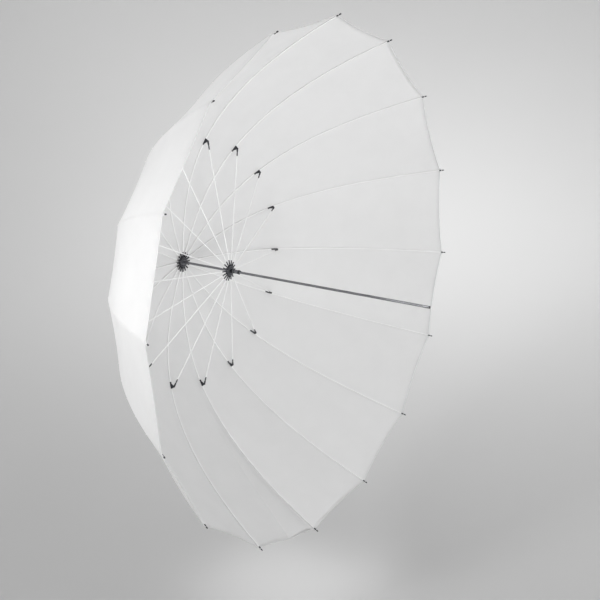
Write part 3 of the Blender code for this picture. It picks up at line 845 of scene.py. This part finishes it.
def gore_points(number, u, length):
    """Points of the cloth in the gore that follows a rib, u of the way to the next rib, at
    a length along the seam from the crown."""
    past = np.maximum(length - seam_length, 0)
    r = np.interp(length, seam_lengths, seam_r) + past * np.cos(seam_slope[-1])
    s = np.interp(length, seam_lengths, seam_s) + past * np.sin(seam_slope[-1])
    slope = np.interp(length, seam_lengths, seam_slope)
    near, middle, far = (np.array(direction(rib_angles[number] + turn * half_gore))
                         for turn in (0, 1, 2))
    share = length / seam_length
    depth = gore_sag[number] * 4 * u * (1 - u) * share ** 1.4 * (1 - 0.45 * share ** 6)
    # Soft folds fan out from the two tips, where the hem pulls on the cloth.
    for across, phase in zip((u, 1 - u), fold_phase[number]):
        x = across * 2 * r * sin(half_gore)
        z = np.maximum(seam_length - length, 0)
        reach = np.hypot(x, z)
        depth = depth + (0.8 * MM * np.sin(13 * np.arctan2(x, z) + phase)
                         * np.exp(-reach / 0.11) * reach / (reach + 0.02) * np.sin(pi * u))
    if number == slack_gore:
        start_u = 0.07 * share ** 2
        crest_u = 0.12 + 0.30 * share ** 3
        rise = np.clip((u - start_u) / (crest_u - start_u), 0, 1)
        fall = np.clip((u - crest_u) / (1 - crest_u), 0, 1)
        depth = depth - (slack_depth * share ** 4 * rise ** 2 * (3 - 2 * rise)
                         * (1 - fall ** 2 * (3 - 2 * fall)))
    flat = (near * (1 - u)[..., None] + far * u[..., None]) * r[..., None]
    flat = flat + np.array((0, 1, 0)) * (crown_y - s)[..., None]
    inward = (middle * -np.sin(slope)[..., None]
              + np.array((0, -1, 0)) * np.cos(slope)[..., None])
    return flat + inward * depth[..., None]


def cloth_points(number, w, length):
    """Points of the cloth beside a rib, w gores to its right, or to its left if negative."""
    w, length = np.broadcast_arrays(np.asarray(w, float), np.asarray(length, float))
    before = rib_numbers[rib_numbers.index(number) - 1]
    right = gore_points(number, np.clip(w, 0, 1), length)
    left = gore_points(before, np.clip(1 + w, 0, 1), length)
    return np.where((w >= 0)[..., None], right, left)


def cloth_normals(number, w, length):
    """The outward directions of the cloth, smoothed over a few millimetres."""
    side = cloth_points(number, w + 0.004, length) - cloth_points(number, w - 0.004, length)
    down = (cloth_points(number, w, length + MM) - cloth_points(number, w, length - MM))
    normal = np.cross(side, down)
    return normal / np.linalg.norm(normal, axis=-1, keepdims=True)


def lifted(number, w, length, lift):
    """Points that stand out from the cloth by a small lift."""
    lift = np.broadcast_to(lift, np.shape(length))[..., None]
    return cloth_points(number, w, length) + cloth_normals(number, w, length) * lift


def radius_at(length):
    return np.interp(length, seam_lengths, seam_r)


def gore_width(length):
    return 2 * half_gore * radius_at(length)


hem_scallop = 7.0 * MM


def hem_length(w):
    """The seam length at which the hem lies, w gores from a rib."""
    return seam_length - hem_scallop * 4 * np.abs(w) * (1 - np.abs(w))


def sheet_mesh(name, points, flat_places):
    """A sheet of quads through a grid of points, with its flat places as a UV map."""
    rows, columns = points.shape[:2]
    index = np.arange(rows * columns).reshape(rows, columns)
    quads = np.stack([index[:-1, :-1], index[1:, :-1], index[1:, 1:], index[:-1, 1:]], -1)
    mesh = bpy.data.meshes.new(name)
    mesh.from_pydata(points.reshape(-1, 3).tolist(), [], quads.reshape(-1, 4).tolist())
    layer = mesh.uv_layers.new(name="cloth")
    layer.data.foreach_set("uv", flat_places.reshape(-1, 2)[quads.reshape(-1)].ravel())
    mesh.shade_smooth()
    return mesh


weave_pitch = 2.2 * MM
# The share of the light that the cloth passes on, out of what it doesn't absorb.
cloth_glow = 0.36


def canopy_cloth():
    """White nylon taffeta. It glows with light from behind, and its plain weave and the
    puckers of its seams catch a little light. The weave is drawn ten times coarser than the
    real threads, which are too fine to see."""
    material, tree, place = new_material("white_translucent_nylon")
    flat = add(tree, "ShaderNodeUVMap", uv_map="cloth").outputs["UV"]
    sides = add(tree, "ShaderNodeSeparateXYZ", {"Vector": flat}).outputs

    def math(operation, *values):
        return add(tree, "ShaderNodeMath", dict(enumerate(values)),
                   operation=operation).outputs[0]

    threads = [math("SINE", math("MULTIPLY", sides[axis], 2 * pi / weave_pitch))
               for axis in ("X", "Y")]
    across = math("ABSOLUTE", sides["X"])
    near_seam = add(tree, "ShaderNodeMapRange", {
        "Value": across, "From Min": 3 * MM, "From Max": 26 * MM, "To Min": 1.0,
        "To Max": 0.0}, interpolation_type="SMOOTHSTEP").outputs["Result"]
    ripple = add(tree, "ShaderNodeMapping", {"Vector": flat, "Scale": (0.35, 1, 1)})
    pucker = math("MULTIPLY", noise(tree, ripple.outputs[0], 75, 2), near_seam)
    soft = bump(tree, noise(tree, place, 7, 3.0), 0.3, 5 * MM)
    puckered = bump(tree, pucker, 0.5, 1.0 * MM, Normal=soft)
    woven = bump(tree, math("MULTIPLY", *threads), 0.18, 0.12 * MM, Normal=puckered)
    white = tone(tree, noise(tree, place, 11, 4.0), "#E8E8E8", "#EFEFEF")
    shader = principled(tree, Base_Color=white, Roughness=0.5, IOR=1.5, Normal=woven)
    glow = add(tree, "ShaderNodeBsdfTranslucent", {"Color": white, "Normal": woven})
    both = add(tree, "ShaderNodeMixShader", {0: cloth_glow, 1: shader, 2: glow.outputs[0]})
    surface(tree, both.outputs[0])
    return material


nylon = canopy_cloth()
panel_w = np.linspace(-0.5, 0.5, 33)


def cloth_panel(name, number, start, end, rows, body):
    """The cloth on both sides of one rib, from the middle of one gore to the middle of the
    next, between two lengths. With no end it goes to the hem."""
    last = hem_length(panel_w) if end is None else np.full(panel_w.shape, end)
    length = start + (last - start) * np.linspace(0, 1, rows + 1)[:, None]
    w = np.broadcast_to(panel_w, length.shape)
    flat_places = np.stack([w * gore_width(length), length], -1)
    mesh = sheet_mesh(name, cloth_points(number, w, length), flat_places)
    return piece(name, mesh, nylon, body, "canopy_fabric", "canopy")


def crumple_with(obj):
    """Gives a piece of cloth its own copy of its mesh."""
    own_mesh(obj)


def seam_band(name, number, start, end, rows, body):
    """The flat-felled seam over one rib: a narrow raised band of four layers of cloth."""
    side = np.array((-2.9, -2.6, 0, 2.6, 2.9)) * MM
    lift = np.array((0.02, 0.42, 0.55, 0.42, 0.02)) * MM
    length = np.broadcast_to(np.linspace(start, end, rows + 1)[:, None], (rows + 1, 5))
    points = lifted(number, side / gore_width(length), length, lift)
    flat_places = np.stack([np.broadcast_to(side + 0.05, length.shape), length], -1)
    return piece(name, sheet_mesh(name, points, flat_places), nylon, body, "canopy_fabric")


def hem_band(name, number, body):
    """The folded hem, two more layers round the edge of the cloth with a cord inside."""
    back = np.array((-8, -2.2, -0.6, 0.5, 0.8, 0.5, -0.6, -2.2, -8)) * MM
    lift = np.array((0.45, 0.6, 1.0, 0.55, 0, -0.55, -1.0, -0.6, -0.45)) * MM
    length = hem_length(panel_w) + back[:, None]
    w = np.broadcast_to(panel_w, length.shape)
    points = lifted(number, w, length, lift[:, None])
    flat_places = np.stack([0.05 + w * 0.3, np.broadcast_to(back[:, None], w.shape)], -1)
    return piece(name, sheet_mesh(name, points, flat_places), nylon, body, "canopy_fabric")


def stitch_tree():
    """Short thread stitches set end to end along lines."""
    tree, given = new_geometry_tree("stitches", ("Pitch", "Thread"))
    path = add(tree, "GeometryNodeMeshToCurve", {"Mesh": given["Geometry"]})
    spots = add(tree, "GeometryNodeCurveToPoints", {
        "Curve": path.outputs[0], "Length": given["Pitch"]}, mode="LENGTH")
    stitch_length = add(tree, "ShaderNodeMath", {0: given["Pitch"], 1: 0.72},
                        operation="MULTIPLY").outputs[0]
    stitch = add(tree, "GeometryNodeMeshCylinder", {
        "Vertices": 6, "Radius": given["Thread"], "Depth": stitch_length})
    copies = add(tree, "GeometryNodeInstanceOnPoints", {
        "Points": spots.outputs["Points"], "Instance": stitch.outputs["Mesh"],
        "Rotation": spots.outputs["Rotation"]})
    return finish_tree(tree, given, copies.outputs[0])


# White bonded nylon thread, with its twist.
thread = grained("white_bonded_nylon_thread", "#E9E9E7", "#F5F5F4", 1600, 2.0, 0.3, 0.05 * MM,
                 Roughness=0.5, IOR=1.53)
stitches = stitch_tree()


def stitched_lines(name, lines, body):
    """Lines of stitches as one piece. The pitch is a little longer than the real one."""
    sewn = grown(name, polylines(name, *lines), stitches, Pitch=4.2 * MM, Thread=0.24 * MM,
                 Material=thread)
    return piece(name, sewn, None, body, "canopy_fabric")


def seam_lines(number, start, end):
    """The two lines of stitches along a seam band."""
    length = np.linspace(start, end, 80)
    return [lifted(number, side / gore_width(length), length, 0.55 * MM)
            for side in (-2.1 * MM, 2.1 * MM)]


def hem_line(number):
    """The line of stitches along the hem, seen on its outer side."""
    return lifted(number, panel_w, hem_length(panel_w) - 6.8 * MM, 0.62 * MM)


for number in rib_numbers:
    crown_cloth = cloth_panel(f"canopy_crown_{number}", number, 0.0, crown_length, 16, None)
    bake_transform(crown_cloth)

    rod = f"rib_{number}"
    inner = cloth_panel(f"canopy_inner_{number}", number, crown_length, joint_length, 48, rod)
    seam = seam_band(f"seam_inner_{number}", number, crown_length, joint_length, 70, rod)
    sewn = stitched_lines(f"seam_stitches_inner_{number}",
                          seam_lines(number, crown_length, joint_length), rod)
    for obj in (inner, seam, sewn):
        crumple_with(obj)

    rod = f"rib_end_{number}"
    outer = cloth_panel(f"canopy_outer_{number}", number, joint_length, None, 72, rod)
    seam = seam_band(f"seam_outer_{number}", number, joint_length, seam_length - 10 * MM, 90,
                     rod)
    hem = hem_band(f"hem_{number}", number, rod)
    sewn = stitched_lines(
        f"seam_stitches_outer_{number}",
        [*seam_lines(number, joint_length, seam_length - 12 * MM), hem_line(number)], rod)
    for obj in (outer, seam, hem, sewn):
        crumple_with(obj)


# Pleat: the slack of one gore lies folded behind it, from the hem up beside the rib, and shows
# through the cloth as a soft dark wedge. It is caught in the hem and tapers out upwards.

pleat_low_u = 0.05
pleat_high_u = 0.42
pleat_bulge = 13 * MM


def pleat_sheet():
    """The folded cloth, which bulges out between its two edges."""
    rows = np.linspace(0, 1, 61)[:, None]
    across = np.linspace(0, 1, 25)
    length = joint_length + rows * (seam_length - 6 * MM - joint_length)
    length, across = np.broadcast_arrays(length, across)
    u = pleat_low_u + (pleat_high_u - pleat_low_u) * across * (0.25 + 0.75 * rows ** 1.5)
    lift = 0.8 * MM + pleat_bulge * np.sin(pi * across) ** 0.8 * rows ** 1.5
    flat_places = np.stack([0.06 + across * 0.1, length], -1)
    return sheet_mesh("canopy_pleat", lifted(slack_gore, u, length, lift), flat_places)


pleat = piece("canopy_pleat", pleat_sheet(), nylon, f"rib_end_{slack_gore}", "canopy_fabric")
crumple_with(pleat)


# Ties: at each tip a short tab of cloth runs from the corner of the hem to the groove of the
# ferrule and is bound there with thread. Along the rods, loops of doubled thread go round the
# rod and through the seam. The thread is drawn about twice its real thickness.

tab_half = 5.5 * MM
groove_back = 7.9 * MM
tab_length = 20 * MM
tie_spacing = 88 * MM
tie_thread = 0.34 * MM


def beside_tip(back, lift):
    """A point in a rib's plane, measured back from the end of the tip and out from the rod."""
    point = along(rim, tip_angle, -back)
    return point[0] + sin(tip_angle) * lift, point[1] - cos(tip_angle) * lift


def tip_tab():
    """A narrow strip, from over the seam down to the groove of the ferrule."""
    share = np.linspace(0, 1, 15)
    back = groove_back + tab_length * (1 - share)
    lift = (2.0 + 1.9 * (1 - share) ** 0.7) * MM
    width = tab_half * (1 - 0.5 * share ** 2)
    across = np.linspace(-1, 1, 9)
    rows = []
    for part, b, up, half in zip(share, back, lift, width):
        row = []
        for side in across:
            r, s = beside_tip(b, up - part * (side * half) ** 2 / (6 * MM))
            row.append((r, side * half, s))
        rows.append(row)
    flat_places = np.stack(np.broadcast_arrays(0.06 + across * tab_half, back[:, None]), -1)
    return sheet_mesh("tip_tab", np.array(rows), flat_places)


def tie_frame(point, angle, lift, stretch):
    """Turns a coil about Z at the origin to lie round a rod in a rib's plane."""
    middle = Vector((point[0] + sin(angle) * lift, 0, point[1] - cos(angle) * lift))
    forward = Vector((cos(angle), 0, sin(angle)))
    out_side = Vector((sin(angle), 0, -cos(angle))) * stretch
    return axes(middle, Vector((0, 1, 0)), out_side, forward)


def thread_ties(first, last):
    """Loops of thread round the rod, at even places between two distances from the shaft."""
    low, high = np.interp((first, last), seam_r, seam_lengths)
    count = max(1, round((high - low) / tie_spacing))
    loops = []
    for k in range(count):
        r = float(radius_at(low + (high - low) * (k + 0.5) / count))
        loop = grown("tie", seed, coil_maker, Turns=2.0, Coil=2.25 * MM, Height=1.2 * MM,
                     Steps=12, Wire=tie_thread, Material=thread)
        loop.transform(tie_frame((r, curve_s(r)), curve_angle(r), 1.0 * MM, 1.36))
        loops.append(loop)
    return loops


inner_ties = joined("inner_ties", *thread_ties(crown_panel_end, joint_point[0] - bracket_length))
binding = grown("binding", seed, coil_maker, Turns=4.0, Coil=2.0 * MM, Height=1.4 * MM,
                Steps=16, Wire=0.2 * MM, Material=thread)
binding.transform(tie_frame(along(rim, tip_angle, -groove_back - 0.7 * MM), tip_angle,
                            0.15 * MM, 1.1))
outer_ties = joined("outer_ties", binding, *thread_ties(flex_point[0], hem_point[0] - 30 * MM))
on_each_rib("rod_ties_inner", inner_ties, thread, "rib", "canopy_fabric")
on_each_rib("rod_ties_outer", outer_ties, thread, "rib_end", "canopy_fabric")
tabs = on_each_rib("tip_tab", tip_tab(), nylon, "rib_end", "canopy_fabric")


# Crown cap: a doubled disc of the same nylon, sewn on in two rings, covers the hole for the
# shaft, and a black moulded cap with finger ribs is pressed on the tube behind it.

rosette_out, rosette_in, rosette_radius = span("canopy_rosette")
fold_under = 3.0 * MM


def rosette_sheet():
    """The disc, with its edge turned under all round."""
    middle = (rosette_in + rosette_out) / 2
    half = (rosette_in - rosette_out) / 2
    turn = np.linspace(0, pi, 9)
    r = np.concatenate([np.linspace(hub_bore, rosette_radius - half, 16)[:-1],
                        rosette_radius - half + half * np.sin(turn),
                        [rosette_radius - half - fold_under]])
    s = np.concatenate([np.full(15, rosette_out), middle - half * np.cos(turn), [rosette_in]])
    angle = np.linspace(0, 2 * pi, 97)
    ripple = 0.12 * MM * np.sin(16 * angle) * (r[:, None] / rosette_radius) ** 2
    points = np.stack([r[:, None] * np.sin(angle), crown_y - s[:, None] + ripple,
                       r[:, None] * np.cos(angle)], -1)
    flat_places = np.stack([0.06 + r[:, None] * np.sin(angle), r[:, None] * np.cos(angle)], -1)
    sheet = sheet_mesh("crown_rosette", points, flat_places)
    return shaped(sheet, ("WELD", {"merge_threshold": 0.01 * MM}))


rosette = piece("crown_rosette", rosette_sheet(), nylon, "shaft", "canopy_fabric",
                "canopy_rosette")
circle_angles = np.linspace(0, 2 * pi, 60)
rosette_lines = [np.stack([r * np.sin(circle_angles),
                           np.full(60, crown_y - rosette_out + 0.05 * MM),
                           r * np.cos(circle_angles)], -1)
                 for r in (rosette_radius - 2.2 * MM, rosette_radius - 5.2 * MM)]
rosette_sewn = stitched_lines("rosette_stitches", rosette_lines, "shaft")

finial_end, finial_start, finial_radius = span("finial_cap")
finial_skirt = 0.35 * (finial_start - finial_end)
finial_flat = 3.0 * MM
pocket = min(shaft_start, finial_start) - edge
dome = []
for k in range(13):
    turn = pi / 2 * k / 12
    dome.append((finial_flat + (finial_radius - finial_flat) * cos(turn) ** 0.8,
                 finial_start - finial_skirt
                 + (finial_end - finial_start + finial_skirt) * sin(turn)))
piece("crown_cap", turned("crown_cap", [
    (hub_bore, pocket), (hub_bore, finial_start), (finial_radius - edge, finial_start),
    (finial_radius, finial_start - edge), *dome, (0, finial_end), (0, pocket)]),
    black_plastic, "shaft", "black_plastic", "finial_cap")
grip_ribs("crown_cap_ribs", 36, finial_radius - 0.1 * MM, finial_skirt - 1.2 * MM, 0.4 * MM,
          black_plastic, finial_start - finial_skirt / 2, "shaft", "black_plastic")


# Studio: a seamless pale grey paper sweep behind and under the reflector, and soft lights.
# The key stands to the left, level with the reflector, and shines on its near outer side.

def paper_material():
    """Matt grey seamless paper with the slight unevenness of a long roll."""
    material, tree, place = new_material("pale_grey_seamless_paper")
    grey = tone(tree, noise(tree, place, 0.35, 2.0), "#C0C0C0", "#C6C6C6")
    surface(tree, principled(tree, Base_Color=grey, Roughness=0.95, Specular_IOR_Level=0.1))
    return material


def sweep_mesh():
    """A wide shallow bowl: a level floor that rises slowly into a wall all round."""
    floor = -1.15
    flat_radius = 2.5
    reach = 7.5
    rise = 5.0
    profile = [(0.02, floor), (flat_radius, floor)]
    for k in range(1, 25):
        turn = pi / 2 * k / 24
        profile.append((flat_radius + reach * sin(turn), floor + rise * (1 - cos(turn))))
    profile.append((flat_radius + reach, 9.0))
    bm = bmesh.new()
    steps = 96
    rings = [[bm.verts.new((r * cos(2 * pi * k / steps), r * sin(2 * pi * k / steps), z))
              for k in range(steps)] for r, z in profile]
    skin(bm, rings)
    bm.faces.new(rings[0])
    mesh = bpy.data.meshes.new("sweep")
    bm.to_mesh(mesh)
    bm.free()
    mesh.shade_smooth()
    return mesh


sweep = bpy.data.objects.new("paper_sweep", sweep_mesh())
bpy.context.scene.collection.objects.link(sweep)
sweep.data.materials.append(paper_material())


def soft_light(name, place, aim, size, watts, spread):
    """A square softbox at a place, turned towards its aim and out of the camera's sight."""
    lamp = bpy.data.lights.new(name, "AREA")
    lamp.spread = radians(spread)
    lamp.shape = "SQUARE"
    lamp.size = size
    lamp.energy = watts
    obj = bpy.data.objects.new(name, lamp)
    obj.location = place
    obj.rotation_euler = (Vector(aim) - Vector(place)).to_track_quat("-Z", "Y").to_euler()
    obj.visible_camera = False
    bpy.context.scene.collection.objects.link(obj)


soft_light("key_left", (-3.0, 0.75, 0.95), (-0.75, 0.35, 0.15), 0.45, 4.3, 50)
soft_light("key_centre", (-3.0, 0.75, 0.9), (-0.78, 0.32, 0.19), 0.3, 0.14, 20)
soft_light("fill_front_left", (-2.2, -4.4, -0.5), (0.3, 0.4, 0.3), 1.6, 17, 60)
soft_light("fill_far_left", (-3.6, -2.8, -0.8), (0.5, 0.1, 0.35), 1.2, 6.4, 50)
soft_light("fill_front_right", (2.4, -3.8, -0.8), (0.0, 0.4, 0.3), 1.2, 3.3, 60)
soft_light("floor_pool", (0.05, 0.3, -0.92), (0.05, 0.3, -1.15), 0.5, 0.38, 140)
soft_light("glow_top", (4.5, 1.0, 3.2), (6.5, 3.0, 0.6), 2.0, 26, 140)
soft_light("glow_right", (2.6, 1.6, 2.8), (4.4, 2.2, -0.9), 1.6, 44, 120)
soft_light("glow_far", (4.0, 4.6, 3.6), (6.5, 6.5, 0.0), 2.4, 12, 140)

world = bpy.data.worlds.new("studio_air")
world.use_nodes = True
world.node_tree.nodes["Background"].inputs["Color"].default_value = colour("#FFFFFF")
world.node_tree.nodes["Background"].inputs["Strength"].default_value = 1.18
bpy.context.scene.world = world
# Plain contrast, in which bright cloth burns out to clean white as it does in a studio.
bpy.context.scene.view_settings.view_transform = "Standard"

camera_data = bpy.data.cameras.new("camera")
camera_data.lens = 59.7
camera_data.sensor_width = 36
camera = bpy.data.objects.new("camera", camera_data)
camera.location = (-2.51814, -1.50661, 0.86099)
looking = Vector((0.79381, 0.53532, -0.28863))
camera.rotation_euler = looking.to_track_quat("-Z", "Y").to_euler()
bpy.context.scene.collection.objects.link(camera)
bpy.context.scene.camera = camera
